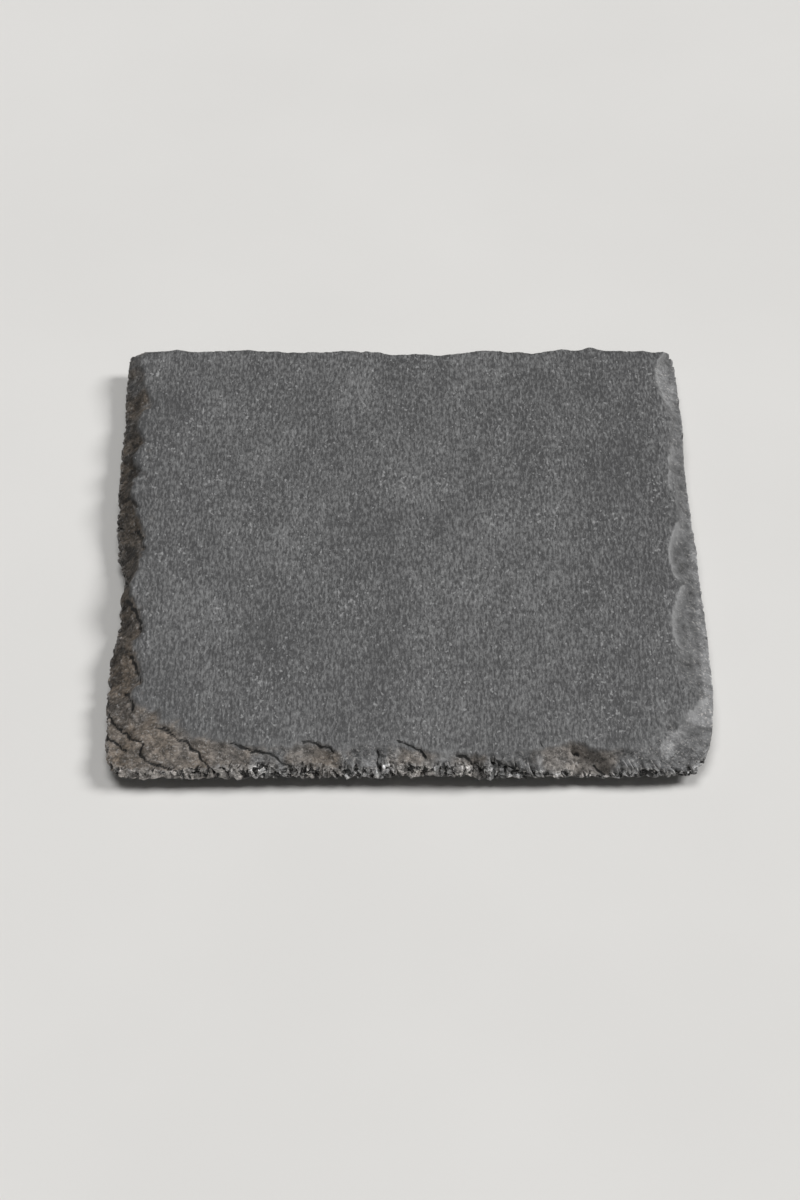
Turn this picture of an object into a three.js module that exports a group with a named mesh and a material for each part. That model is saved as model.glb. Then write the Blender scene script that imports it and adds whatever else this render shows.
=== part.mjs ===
// A square slate coaster: one slab of riven slate with chipped edges, standing on four round
// rubber pads, each stuck to the slab's underside by a disc of adhesive.
// Millimetres, +Z up. The front edge faces -Y. The origin is on the table, under the middle.

import * as THREE from 'three';

// Driving dimensions
const SIDE = 100;
const SLAB_THICKNESS = 5;
const PAD_DIAMETER = 10;
const PAD_THICKNESS = 1.8;
const PAD_EDGE_ROUNDING = 0.3;
const ADHESIVE_DIAMETER = 9.4;
const ADHESIVE_THICKNESS = 0.2;
const FOOT_SPACING = 72;

// Fineness of the meshes
const SAMPLES_PER_EDGE = 64;
const ROUND_SEGMENTS = 32;

// Heights that follow from the driving dimensions
const HALF = SIDE / 2;
const SLAB_BOTTOM = PAD_THICKNESS + ADHESIVE_THICKNESS;
const SLAB_TOP = SLAB_BOTTOM + SLAB_THICKNESS;

// Shape of the slab's wall and of the riser where a broken face drops from the top
const BOTTOM_UNDERCUT = 0.5;
const WALL_FOOT_UNDERCUT = 0.12;
const WALL_FOOT_HEIGHT = 0.5;
const RISER_RUN = 0.35;
const MIDDLE_SHARE = 0.5;
const MIDDLE_RISE = 0.45;

// How strongly the corners, rather than the middles of the edges, are pulled in
const CORNER_POWER = 4;

// How each edge is chipped. Each list holds pairs of a place along the edge, from -50 to 50 along
// X or Y, and a value there, with straight lines between them.
//   inset: how far the edge stands inside the nominal square
//   bevel: how far the broken face reaches in from the edge
//   rim:   how high the wall stands under the broken face, above the slab's bottom
//   riser: how deep the break drops straight down from the top face
const EDGES = {
  front: {
    inset: [[-50, 1], [-47, 0.1], [-42, 0], [-38, 0], [-30, 0.2], [-15, 0.3], [0, 0.25], [20, 0.1],
      [27, 0.3], [33, 0.1], [44, 0.3], [50, 1.1]],
    bevel: [[-50, 8.5], [-41.5, 8.4], [-38, 6], [-31.5, 5.2], [-27, 3.2], [-16, 3.9], [-12.5, 2.4],
      [-8, 3.6], [-2, 4], [4, 1.6], [10, 1.3], [20, 2], [26.5, 4], [32, 2.2], [38, 2.6],
      [46, 7], [50, 8.5]],
    rim: [[-50, 2.6], [-41, 3.6], [-37, 2.7], [-28, 4], [-20, 3.3], [-11, 2.5], [0, 4], [3.5, 3],
      [7, 4.4], [15, 3.3], [25, 1.8], [31, 1.3], [40, 2.8], [43, 1.9], [50, 2.2]],
    riser: 0.3,
  },
  right: {
    inset: [[-50, 3.6], [-48, 2.6], [-45, 1.5], [-41, 0.7], [-37, 0.4], [-33, 0], [-29, 0],
      [-15, 0.1], [-9, 0.5], [0, 0.5], [6, 0.9], [20, 1.2], [28, 0.9], [40, 1], [47, 1.2],
      [50, 1.5]],
    bevel: [[-50, 8.5], [-46.5, 8], [-45, 5.6], [-43.5, 6], [-38, 1.8], [-34.5, 3], [-31.5, 6],
      [-27, 5.4], [-22, 6], [-18, 6], [-12.5, 4.4], [-10.5, 3], [-8, 4.6], [-2, 5.2], [4, 2.6],
      [12, 2.2], [22, 3.4], [30, 2], [38, 3.6], [46, 4.4], [50, 3]],
    rim: [[-50, 2.2], [-42, 2.4], [-36, 3.6], [-28, 2.6], [-18, 2.2], [-10, 3.4], [-2, 2.6],
      [8, 3.4], [20, 2.8], [32, 3.4], [44, 2.6], [50, 3]],
    riser: 0.6,
  },
  back: {
    inset: [[-50, 0.8], [-41, 0.3], [-34, 0.6], [-28, 0.1], [-19, 0.7], [-10, 0.3], [-4, 0.7],
      [5, 1], [14, 0.3], [22, 0.8], [30, 0], [34, 0], [37, 0.4], [43, 0.2], [50, 0.6]],
    bevel: [[-50, 1.4], [-41, 0.9], [-34, 1.2], [-28, 0.8], [-19, 1.3], [-10, 1], [-4, 1.3],
      [5, 1.6], [14, 1], [22, 1.3], [32, 0.7], [41, 1.1], [50, 1.4]],
    rim: [[-50, 2.8], [-34, 3.4], [-21, 2.6], [-8, 3.8], [5, 2.4], [14, 3.6], [27, 3], [36, 3.8],
      [50, 3]],
    riser: 0.5,
  },
  left: {
    inset: [[-50, 1.6], [-47, 0.4], [-42, 0], [-30, 0], [-26, 0.1], [-22, 0.6], [-19, 1.2],
      [-10, 1.4], [-6.5, 1.9], [-4, 1.3], [0, 0.4], [6, 0.1], [15, 0.1], [28, 0.2], [32, 0.5],
      [40, 0.4], [50, 0.7]],
    bevel: [[-50, 8.5], [-42.5, 8], [-39, 5], [-35, 3.6], [-33, 5.8], [-26, 4.2], [-23.5, 3.4],
      [-21, 5], [-16, 3.6], [-12.5, 1.7], [-8, 2.3], [-3, 4], [2, 4.7], [8, 3.8], [12, 2.1],
      [14, 2.1], [17.5, 4], [21.5, 2.2], [25, 4], [28.5, 2.6], [33, 3.2], [36, 4.7], [45, 2.8],
      [50, 2.4]],
    rim: [[-50, 2.6], [-38, 2], [-30, 1.5], [-20, 1.9], [-8, 1.3], [2, 1.7], [15, 2.3], [30, 1.7],
      [42, 2.1], [50, 2.4]],
    riser: 0.45,
  },
};

// Value at one place of a list of [place, value] pairs, with straight lines between them.
function valueAt(list, place) {
  const next = Math.max(1, list.findIndex(([at]) => at >= place));
  const [startPlace, startValue] = list[next - 1];
  const [endPlace, endValue] = list[next];
  return THREE.MathUtils.mapLinear(place, startPlace, endPlace, startValue, endValue);
}

// Plan position of a point of the nominal square (u and v from -1 to 1), with the insets applied.
function planPoint(u, v) {
  const x = u * HALF;
  const y = v * HALF;
  const sideInset = u < 0 ? valueAt(EDGES.left.inset, y) : -valueAt(EDGES.right.inset, y);
  const endInset = v < 0 ? valueAt(EDGES.front.inset, x) : -valueAt(EDGES.back.inset, x);
  return [
    x + sideInset * Math.abs(u) ** CORNER_POWER,
    y + endInset * Math.abs(v) ** CORNER_POWER,
  ];
}

// The point a given depth in from the outline, level with sample (u, v) of the outline.
function insidePoint({ u, v }, depth) {
  const pull = (w) => w * (1 - (depth / HALF) * Math.abs(w) ** CORNER_POWER);
  return planPoint(pull(u), pull(v));
}

// Samples of the outline, counter-clockwise from the front left corner.
function outlineSamples() {
  const corners = [
    { edge: EDGES.front, start: [-1, -1], step: [1, 0] },
    { edge: EDGES.right, start: [1, -1], step: [0, 1] },
    { edge: EDGES.back, start: [1, 1], step: [-1, 0] },
    { edge: EDGES.left, start: [-1, 1], step: [0, -1] },
  ];
  return corners.flatMap(({ edge, start, step }) =>
    Array.from({ length: SAMPLES_PER_EDGE }, (_, index) => {
      const run = (2 * index) / SAMPLES_PER_EDGE;
      const u = start[0] + step[0] * run;
      const v = start[1] + step[1] * run;
      const place = (step[0] === 0 ? v : u) * HALF;
      return {
        u,
        v,
        bevel: valueAt(edge.bevel, place),
        rim: SLAB_BOTTOM + valueAt(edge.rim, place),
        riserFoot: SLAB_TOP - edge.riser,
      };
    }));
}

// Rings of points from the bottom face, up the wall and over the broken face to the top face.
function slabRings() {
  const levels = [
    () => [BOTTOM_UNDERCUT, SLAB_BOTTOM],
    () => [WALL_FOOT_UNDERCUT, SLAB_BOTTOM + WALL_FOOT_HEIGHT],
    (sample) => [0, sample.rim],
    (sample) => [
      (sample.bevel - RISER_RUN) * MIDDLE_SHARE,
      THREE.MathUtils.lerp(sample.rim, sample.riserFoot, MIDDLE_RISE),
    ],
    (sample) => [sample.bevel - RISER_RUN, sample.riserFoot],
    (sample) => [sample.bevel, SLAB_TOP],
  ];
  const samples = outlineSamples();
  return levels.map((level) => samples.map((sample) => {
    const [depth, height] = level(sample);
    return [...insidePoint(sample, depth), height];
  }));
}

// Triangles of a flat face that fills one ring.
function capTriangles(ring, firstIndex, facesUp) {
  const contour = ring.map(([x, y]) => new THREE.Vector2(x, y));
  return THREE.ShapeUtils.triangulateShape(contour, []).flatMap(([a, b, c]) =>
    (facesUp ? [a, b, c] : [a, c, b]).map((index) => firstIndex + index));
}

function slabGeometry() {
  const rings = slabRings();
  const count = rings[0].length;
  const indices = [];
  for (let level = 0; level < rings.length - 1; level += 1) {
    for (let place = 0; place < count; place += 1) {
      const low = level * count + place;
      const lowNext = level * count + ((place + 1) % count);
      indices.push(low, lowNext, lowNext + count);
      indices.push(low, lowNext + count, low + count);
    }
  }
  indices.push(...capTriangles(rings[0], 0, false));
  indices.push(...capTriangles(rings.at(-1), (rings.length - 1) * count, true));
  const geometry = new THREE.BufferGeometry();
  geometry.setAttribute('position', new THREE.Float32BufferAttribute(rings.flat(2), 3));
  geometry.setIndex(indices);
  geometry.computeVertexNormals();
  return geometry;
}

// A round disc standing on z = 0, with its lower edge rounded off by the given amount.
function discGeometry(diameter, thickness, rounding) {
  const radius = diameter / 2;
  const profile = [new THREE.Vector2(0, 0), new THREE.Vector2(radius - rounding, 0)];
  if (rounding > 0) {
    const middle = rounding * (1 - Math.SQRT1_2);
    profile.push(new THREE.Vector2(radius - middle, middle));
    profile.push(new THREE.Vector2(radius, rounding));
  }
  profile.push(new THREE.Vector2(radius, thickness), new THREE.Vector2(0, thickness));
  return new THREE.LatheGeometry(profile, ROUND_SEGMENTS).rotateX(Math.PI / 2);
}

const slate = new THREE.MeshStandardMaterial({ color: 0x626363, roughness: 0.7, metalness: 0 });
const rubber = new THREE.MeshStandardMaterial({ color: 0x151516, roughness: 0.9, metalness: 0 });
const adhesive = new THREE.MeshStandardMaterial({ color: 0xcfcabc, roughness: 0.4, metalness: 0 });

function namedMesh(name, geometry, material) {
  const mesh = new THREE.Mesh(geometry, material);
  mesh.name = name;
  return mesh;
}

// One foot: the rubber pad on the table and the adhesive between it and the slab.
function foot(place, x, y) {
  const group = new THREE.Group();
  group.position.set(x, y, 0);
  const pad = discGeometry(PAD_DIAMETER, PAD_THICKNESS, PAD_EDGE_ROUNDING);
  const glue = discGeometry(ADHESIVE_DIAMETER, ADHESIVE_THICKNESS, 0);
  const padMesh = namedMesh(`foot_pad_${place}`, pad, rubber);
  const glueMesh = namedMesh(`adhesive_disc_${place}`, glue, adhesive);
  glueMesh.position.z = PAD_THICKNESS;
  group.add(padMesh, glueMesh);
  return group;
}

const coaster = new THREE.Group();
coaster.add(namedMesh('slate_slab', slabGeometry(), slate));
for (const [depthName, depthSign] of [['front', -1], ['back', 1]]) {
  for (const [sideName, sideSign] of [['left', -1], ['right', 1]]) {
    const offset = FOOT_SPACING / 2;
    coaster.add(foot(`${depthName}_${sideName}`, sideSign * offset, depthSign * offset));
  }
}

export default coaster;
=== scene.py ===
"""Looks of the slate coaster: the riven slab with its broken edges, its rubber feet, a pale
floor, soft light and the camera. Lengths inside the slab's own functions are in millimetres."""

import math

import bpy
import numpy as np
from mathutils import Matrix, Vector
from mathutils.bvhtree import BVHTree


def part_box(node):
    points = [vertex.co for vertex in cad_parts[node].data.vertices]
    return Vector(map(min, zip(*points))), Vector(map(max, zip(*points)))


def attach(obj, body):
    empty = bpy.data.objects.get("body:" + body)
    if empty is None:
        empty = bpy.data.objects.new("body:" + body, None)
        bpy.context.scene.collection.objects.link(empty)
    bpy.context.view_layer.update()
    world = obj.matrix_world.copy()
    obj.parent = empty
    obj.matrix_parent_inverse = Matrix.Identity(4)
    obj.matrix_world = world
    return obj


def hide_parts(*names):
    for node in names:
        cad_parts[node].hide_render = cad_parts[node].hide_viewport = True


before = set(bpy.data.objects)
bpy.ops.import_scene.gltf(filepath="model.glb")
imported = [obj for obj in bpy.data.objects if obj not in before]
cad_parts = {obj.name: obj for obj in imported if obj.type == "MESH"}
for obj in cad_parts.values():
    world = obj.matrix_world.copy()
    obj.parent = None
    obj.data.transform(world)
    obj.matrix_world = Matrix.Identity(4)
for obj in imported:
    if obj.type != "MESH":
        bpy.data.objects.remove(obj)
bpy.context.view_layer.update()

MM = 0.001

# Fineness of the slab's mesh: points along one edge, rings of the broken border, spacing of the
# outermost rings, and rows of the wall
CELLS_PER_EDGE = 448
BORDER_RINGS = 30
FINE_RING = 0.24
WALL_ROWS = 12

# The broken border: how far in its rings reach, how far in the middle of the rough wall stands,
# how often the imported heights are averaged, and how the smoother sides' rim is rounded
BORDER_WIDTH = 9.2
MEAN_INSET = 0.4
SOFTENING_ROUNDS = 8
RIM_ROUNDING = 0.7

# The rim stays this far below the border's height this far inside it, so that no lip stands up
LIP_CHECK_INSET = 0.45
LIP_CLEARANCE = 0.15

# The slab and the places of its feet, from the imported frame
slab_low, slab_high = (np.array(corner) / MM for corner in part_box("slate_slab"))
SLAB_BOTTOM = slab_low[2]
SLAB_TOP = slab_high[2]
HALF = (slab_high[0] - slab_low[0]) / 2
pad_low, pad_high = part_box("foot_pad_front_left")
FOOT_PLACE = abs(pad_low[0] + pad_high[0]) / 2 / MM


# -------- random patterns

def noise(x, y, seed):
    """Smooth random values from -1 to 1, changing over one unit of x and of y."""
    size = 256
    table = np.random.default_rng(seed).uniform(-1, 1, (size, size))
    column = np.floor(x).astype(int)
    row = np.floor(y).astype(int)
    across = x - column
    along = y - row
    across = across * across * (3 - 2 * across)
    along = along * along * (3 - 2 * along)
    left = column % size
    right = (column + 1) % size
    low = row % size
    high = (row + 1) % size
    near = table[left, low] * (1 - across) + table[right, low] * across
    far = table[left, high] * (1 - across) + table[right, high] * across
    return near * (1 - along) + far * along


def layered_noise(x, y, seed, layers=3):
    """Noise with finer and weaker copies of itself laid over it, each shifted from the last."""
    shift_x = 17.3
    shift_y = 5.1
    total = np.zeros_like(x)
    for layer in range(layers):
        scale = 2.0 ** layer
        moved_x = x * scale + shift_x * layer
        moved_y = y * scale + shift_y * layer
        total += noise(moved_x, moved_y, seed + layer) / scale
    return total


def cells(x, y, seed):
    """Random cells about one unit across: squared distance to the nearest cell's centre, which
    rises to sharp ridges between cells, three random values of that cell, and how far to the
    right of its centre and above it each point lies."""
    size = 128
    scatter = 0.48
    table = np.random.default_rng(seed).uniform(-1, 1, (size, size, 5))
    column = np.floor(x).astype(int)
    row = np.floor(y).astype(int)
    nearest = np.full(x.shape, np.inf)
    values = np.zeros((3,) + x.shape)
    gaps = np.zeros((2,) + x.shape)
    for right in (-1, 0, 1):
        for up in (-1, 0, 1):
            cell = table[(column + right) % size, (row + up) % size]
            gap_x = x - (column + right + 0.5 + scatter * cell[:, 0])
            gap_y = y - (row + up + 0.5 + scatter * cell[:, 1])
            distance = gap_x ** 2 + gap_y ** 2
            closer = distance < nearest
            nearest = np.where(closer, distance, nearest)
            values = np.where(closer, cell[:, 2:].T, values)
            gaps = np.where(closer, (gap_x, gap_y), gaps)
    return nearest, values, gaps


def scallops(x, y, seed):
    """Shallow bowls side by side, 0 at their middles, with sharp ridges between them."""
    return np.minimum(cells(x, y, seed)[0], 1)


def facets(x, y, seed, jump, tilt):
    """Flat facets side by side, each raised or sunk by up to jump and sloping by up to tilt."""
    _, values, gaps = cells(x, y, seed)
    return jump * values[0] + tilt * (values[1] * gaps[0] + values[2] * gaps[1])


def smooth_step(low, high, value):
    """0 where the value is at low or past it, 1 at high or past it, and smooth in between."""
    share = np.clip((value - low) / (high - low), 0, 1)
    return share * share * (3 - 2 * share)


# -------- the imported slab

def slab_surface():
    """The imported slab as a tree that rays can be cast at, in millimetres."""
    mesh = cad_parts["slate_slab"].data
    points = [vertex.co / MM for vertex in mesh.vertices]
    faces = [tuple(face.vertices) for face in mesh.polygons]
    return BVHTree.FromPolygons(points, faces)


def square_loop(count):
    """Points of the square from -1 to 1, counter-clockwise from the front left corner."""
    run = np.linspace(-1, 1, count, endpoint=False)
    one = np.ones(count)
    sides = [(run, -one), (one, run), (-run, one), (-one, -run)]
    return np.concatenate([np.stack(side, axis=1) for side in sides])


def outline_and_rim(surface, directions):
    """Where the slab reaches furthest in each direction, and the height at which its wall ends."""
    above_foot = 0.6
    below_top = 0.15
    levels = 30
    heights = np.linspace(SLAB_BOTTOM + above_foot, SLAB_TOP - below_top, levels)
    still_wall = 0.03
    outline = np.zeros((len(directions), 2))
    rim = np.zeros(len(directions))
    for index, direction in enumerate(directions):
        ray = Vector((*direction, 0)).normalized()
        starts = [Vector((0, 0, height)) for height in heights]
        reaches = np.array([surface.ray_cast(start, ray)[3] for start in starts])
        wall = np.flatnonzero(reaches > reaches.max() - still_wall)
        rim[index] = heights[wall[-1]]
        outline[index] = np.array(ray[:2]) * reaches.max()
    return outline, rim


def packed_height(surface, x, y):
    """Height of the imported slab's upper side over each point, with its straight breaks frayed."""
    start = SLAB_TOP + 1
    down = Vector((0, 0, -1))
    heights = np.full(len(x), SLAB_TOP)
    fraying = 0.4
    fray_length = 2.4
    frayed_x = x + fraying * layered_noise(x / fray_length, y / fray_length, 81)
    frayed_y = y + fraying * layered_noise(x / fray_length, y / fray_length, 86)
    for index in np.flatnonzero(edge_distance(x, y) < BORDER_WIDTH + 1):
        for place in ((frayed_x[index], frayed_y[index]), (x[index], y[index])):
            distance = surface.ray_cast(Vector((*place, start)), down)[3]
            if distance is not None:
                heights[index] = start - distance
                break
    return heights


def edge_distance(x, y):
    """How far inside the nominal square each point lies."""
    return HALF - np.maximum(np.abs(x), np.abs(y))


# -------- how the stone broke

# Steps in the broken faces, seen in plan, as drop, fade, groove and points. The low side is on the
# right hand of the points' direction. drop is the step's height at the line, fade is how far it
# takes to fade away, and groove is how open the crack along the line is, or less than 0 for a
# raised crest.
STEPS = [
    # front left corner, from the top face outwards
    (0.26, 3.5, 0.55, [
        (-41.6, -41.4), (-41.0, -41.8), (-39.8, -42.2), (-38.6, -43.3), (-37.7, -44.4),
        (-36.6, -45.0), (-35.4, -45.9), (-34.4, -46.5), (-34.2, -47.6), (-33.5, -48.2),
        (-32.6, -49.2), (-31.9, -50.6)]),
    (0.32, 3.0, 0.6, [
        (-50.4, -35.2), (-49.6, -36.4), (-48.8, -38.1), (-47.8, -39.9), (-46.9, -41.1),
        (-46.1, -41.7), (-45.4, -43.1), (-44.6, -43.9), (-43.5, -44.6), (-43.2, -45.3),
        (-43.9, -46.4), (-43.2, -47.4), (-42.7, -48.2), (-41.3, -48.6), (-39.7, -49.2),
        (-38.0, -49.7), (-37.0, -50.6)]),
    (0.22, 2.0, 0.4, [
        (-50.4, -40.2), (-49.4, -41.3), (-48.6, -42.6), (-47.5, -43.9), (-46.3, -45.1),
        (-45.8, -46.3)]),
    (0.25, 2.4, 0.0, [
        (-46.2, -36.0), (-44.8, -37.6), (-43.9, -39.8), (-41.8, -41.0), (-41.0, -41.8)]),
    (0.0, 1.0, -0.3, [(-31.4, -48.6), (-31.0, -49.5), (-30.8, -50.6)]),
    # along the front edge
    (0.24, 3.0, 0.3, [
        (-30.0, -45.0), (-29.2, -45.4), (-27.5, -46.4), (-25.3, -46.9), (-23.0, -47.5),
        (-21.6, -47.9), (-20.7, -48.7), (-19.6, -49.1), (-18.0, -49.8)]),
    (0.26, 3.0, 0.3, [
        (-18.6, -45.3), (-17.4, -45.2), (-15.8, -45.5), (-14.0, -46.2), (-12.9, -46.8),
        (-12.4, -48.0)]),
    (0.3, 1.4, 0.3, [(-6.0, -46.2), (-5.4, -47.4), (-5.3, -48.8), (-5.1, -50.6)]),
    (0.28, 3.0, 0.3, [
        (-3.1, -44.9), (-2.4, -45.1), (-1.7, -45.6), (-0.5, -46.1), (0.9, -47.0), (2.1, -47.8),
        (2.7, -48.8)]),
    (0.0, 1.0, -0.35, [(6.6, -48.5), (4.8, -49.0), (3.6, -49.2), (2.8, -49.7), (2.3, -50.4)]),
    (0.3, 2.0, 0.7, [(6.6, -47.8), (7.9, -48.3), (9.1, -48.6), (10.0, -49.2), (11.0, -50.2)]),
    (0.25, 2.0, 0.6, [
        (11.9, -48.6), (13.4, -48.9), (14.8, -49.2), (16.3, -49.3), (17.8, -49.8), (18.6, -50.6)]),
    # scar on the front edge: a bowl that is deepest at its right end
    (0.3, 4.0, 0.0, [
        (20.0, -48.8), (21.7, -47.9), (23.3, -47.2), (25.0, -46.4), (26.1, -45.9), (27.0, -46.2)]),
    (1.3, 2.6, 0.1, [
        (25.2, -46.5), (26.1, -45.9), (27.2, -46.5), (29.0, -47.3), (30.6, -47.9), (31.3, -48.4),
        (31.8, -49.2), (32.0, -50.6)]),
    (0.1, 1.0, 0.5, [(25.6, -46.0), (26.6, -46.4), (27.8, -47.1)]),
    (0.2, 1.2, 0.6, [(28.7, -47.8), (30.2, -48.6), (31.2, -49.2), (31.6, -50.6)]),
    (0.0, 1.0, -0.25, [(21.5, -47.8), (20.9, -48.7), (20.3, -49.8)]),
    (0.1, 1.0, 0.28, [(20.7, -44.9), (21.1, -46.3), (21.7, -47.5)]),
    # front right corner
    (0.35, 4.0, -0.22, [
        (40.8, -48.2), (40.5, -47.0), (40.4, -46.2), (40.9, -45.0), (42.1, -43.8), (44.2, -41.6)]),
    (0.4, 4.0, -0.25, [(44.1, -40.9), (45.2, -39.6), (46.4, -38.2), (47.8, -35.8), (49.0, -33.8)]),
    (0.25, 2.5, 0.05, [(43.9, -40.8), (45.7, -41.0), (47.9, -40.7), (49.6, -40.4)]),
    # right edge, from the front backwards
    (0.3, 1.6, 0.0, [(47.6, -33.6), (46.3, -31.8), (44.4, -30.5)]),
    (0.35, 2.2, 0.0, [(43.4, -27.5), (45.0, -27.7), (47.4, -26.4)]),
    (0.45, 1.6, -0.22, [
        (45.0, -25.0), (44.3, -23.5), (43.9, -21.8), (43.9, -18.3), (44.5, -15.3), (45.4, -12.3),
        (46.8, -9.4)]),
    (0.45, 1.6, -0.22, [
        (45.6, -9.0), (44.6, -6.6), (44.3, -4.0), (44.4, -1.2), (45.2, 1.5), (46.6, 5.0)]),
    (0.35, 1.6, -0.18, [
        (47.4, 7.0), (46.4, 10.0), (45.4, 13.6), (45.6, 17.5), (46.0, 21.0), (47.0, 25.0)]),
    (0.35, 2.0, -0.15, [(47.6, 34.0), (45.6, 38.0), (45.1, 42.0), (45.7, 45.5), (47.0, 49.0)]),
    # left edge, from the back forwards
    (0.5, 2.4, 0.1, [(-46.6, 41.0), (-45.4, 37.0), (-44.6, 32.8)]),
    (0.6, 2.0, 0.15, [(-47.2, 29.0), (-46.2, 26.5), (-45.2, 24.6)]),
    (0.6, 2.0, 0.15, [(-47.8, 21.0), (-46.6, 18.8), (-45.5, 17.0)]),
    (0.6, 2.0, 0.2, [(-48.2, 13.0), (-47.0, 10.5), (-45.6, 8.2)]),
    (0.6, 2.4, 0.22, [(-46.4, 5.4), (-45.0, 1.5), (-44.5, -2.4)]),
    (0.5, 2.4, 0.35, [(-47.6, -11.4), (-46.2, -14.5), (-44.9, -17.5), (-44.2, -21.4)]),
    (0.5, 2.6, 0.5, [(-46.2, -25.0), (-45.5, -27.0), (-44.8, -29.6), (-43.8, -33.2)]),
    (0.4, 2.4, 0.3, [(-47.0, -32.4), (-45.6, -35.8), (-44.9, -38.4)]),
]

# Cracks in the front wall: points as x and height
WALL_CRACKS = [
    [(-42.7, 5.4), (-41.3, 5.4), (-39.7, 5.0), (-38.0, 4.9), (-36.4, 4.7), (-34.4, 4.9)],
    [(-37.6, 4.2), (-35.6, 4.3), (-33.4, 4.0)],
    [(-36.8, 3.5), (-34.8, 3.5), (-32.8, 3.3)],
    [(-33.3, 5.3), (-32.6, 4.4), (-32.0, 3.0)],
    [(-25.9, 5.4), (-24.9, 5.2), (-24.0, 4.9)],
    [(-23.8, 4.6), (-22.6, 3.9), (-21.9, 3.0)],
    [(-19.6, 5.4), (-18.2, 4.9), (-16.9, 4.5)],
    [(-11.4, 5.3), (-10.2, 5.0), (-8.9, 5.2)],
    [(-5.3, 6.2), (-5.2, 4.6), (-5.1, 2.8)],
    [(12.4, 5.6), (13.8, 5.0), (15.4, 4.8), (16.6, 4.4), (17.2, 3.0)],
    [(15.6, 3.9), (18.0, 3.7)],
    [(36.8, 5.2), (38.4, 4.6), (40.0, 4.5)],
    [(42.2, 4.0), (43.4, 3.2)],
]

# Half width of a crack, how far a crest's raised flank reaches, with its pale, partly painted
# highlight, how deep a fully open crack is, the run over which a step falls, and the depth of a
# crack in the wall
CRACK_WIDTH = 0.26
CREST_WIDTH = 0.7
GROOVE_DEPTH = 0.4
STEP_RUN = 0.32
WALL_CRACK_DEPTH = 0.45

# How soon the material shows a crack's painted shadow or a crest's pale, partly painted highlight
# as its groove value grows
LINE_STRENGTH = 4

# Places where the stone is paler or darker: middle in plan, half width, half depth and how much,
# darker where the last value is less than 0. Some paler places are stone that broke last; along
# the right rim the paler strips are painted highlights where it faces the light, and the darker
# places in the right edge's scoops and over the left side, which faces away from it, are painted
# shade.
PALENESS_AND_PAINTED_LIGHT_PLACES = [
    (46.6, 0.0, 3.2, 52.0, -0.14),
    (45.4, -44.4, 3.2, 3.0, -0.14),
    # painted highlight along the right rim, where it faces the light
    (49.2, -12.0, 1.0, 34.0, 0.4),
    (-16.0, -49.8, 1.6, 0.8, 0.5),
    (9.3, -49.8, 0.8, 0.8, 0.8),
    (24.6, -47.7, 4.0, 1.7, 0.6),
    (46.6, 40.0, 2.6, 6.0, 0.5),
    # painted highlight along the right rim, where it faces the light
    (49.3, -30.0, 1.2, 12.0, 0.7),
    # painted shade in the right edge's scoops: this entry and the next four
    (46.2, -31.2, 1.3, 1.5, -0.3),
    (45.2, -27.2, 1.8, 1.2, -0.45),
    (45.5, -20.0, 1.0, 4.2, -0.45),
    (45.9, -3.5, 1.0, 4.0, -0.4),
    (47.2, 13.0, 0.9, 4.5, -0.3),
    (-45.2, -44.9, 1.3, 1.2, 0.5),
    (-45.4, -40.6, 1.4, 0.9, 0.45),
    (-7.2, -47.2, 1.4, 2.2, 0.4),
    (-3.2, -48.6, 1.4, 1.5, 0.4),
    (1.0, -48.6, 2.6, 1.6, 0.4),
    (34.0, -48.6, 3.0, 1.4, 0.3),
    # painted shade over the left side, which faces away from the light
    (-48.5, 6.0, 3.6, 44.0, -0.62),
]

# Flat flakes with a sharp outline, counter-clockwise, that are paler still: partly paler fresh
# stone, partly a painted highlight where they face the light
PALE_AND_HIGHLIT_FLAKES = [
    [(44.6, -40.6), (49.2, -40.6), (49.0, -34.4)],
    [(41.1, -47.4), (42.4, -47.0), (42.7, -45.0), (41.9, -44.3), (41.0, -45.6)],
]
FLAKE_PALENESS_AND_HIGHLIGHT = 0.7
FLAKE_BLUR = 0.2

# Places with a painted reflection of brownish light, as if bounced from warm surroundings:
# middle in plan, half width, half depth and how brown
WARM_REFLECTION_PLACES = [
    (-49.0, -10.0, 6.0, 66.0, 1.0),
    (-38.0, -46.0, 15.0, 8.0, 0.85),
    (-15.5, -47.5, 4.8, 3.2, 0.75),
    (0.5, -48.2, 3.8, 3.2, 0.55),
    (9.0, -48.8, 2.8, 1.8, 0.55),
    (26.5, -47.6, 6.8, 3.2, 0.55),
]


def inside_share(x, y, corners):
    """1 inside a convex outline given counter-clockwise, 0 outside it."""
    corners = np.array(corners)
    nearest = np.full(x.shape, np.inf)
    for (start_x, start_y), (run_x, run_y) in zip(corners, np.roll(corners, -1, axis=0) - corners):
        to_left = (run_x * (y - start_y) - run_y * (x - start_x)) / math.hypot(run_x, run_y)
        nearest = np.minimum(nearest, to_left)
    return smooth_step(-FLAKE_BLUR, FLAKE_BLUR, nearest)


def paleness_and_painted_light(x, y):
    """How much paler than usual the stone is at each point, or darker where it is below 0, as paler
    stone, painted highlights and painted shade.
    """
    shift = np.zeros_like(x)
    for middle_x, middle_y, half_width, half_depth, amount in PALENESS_AND_PAINTED_LIGHT_PLACES:
        reach = np.hypot((x - middle_x) / half_width, (y - middle_y) / half_depth)
        share = smooth_step(1.15, 0.6, reach)
        shift = shift * (1 - share) + amount * share
    for corners in PALE_AND_HIGHLIT_FLAKES:
        share = inside_share(x, y, corners)
        shift = shift * (1 - share) + FLAKE_PALENESS_AND_HIGHLIGHT * share
    return shift


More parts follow.
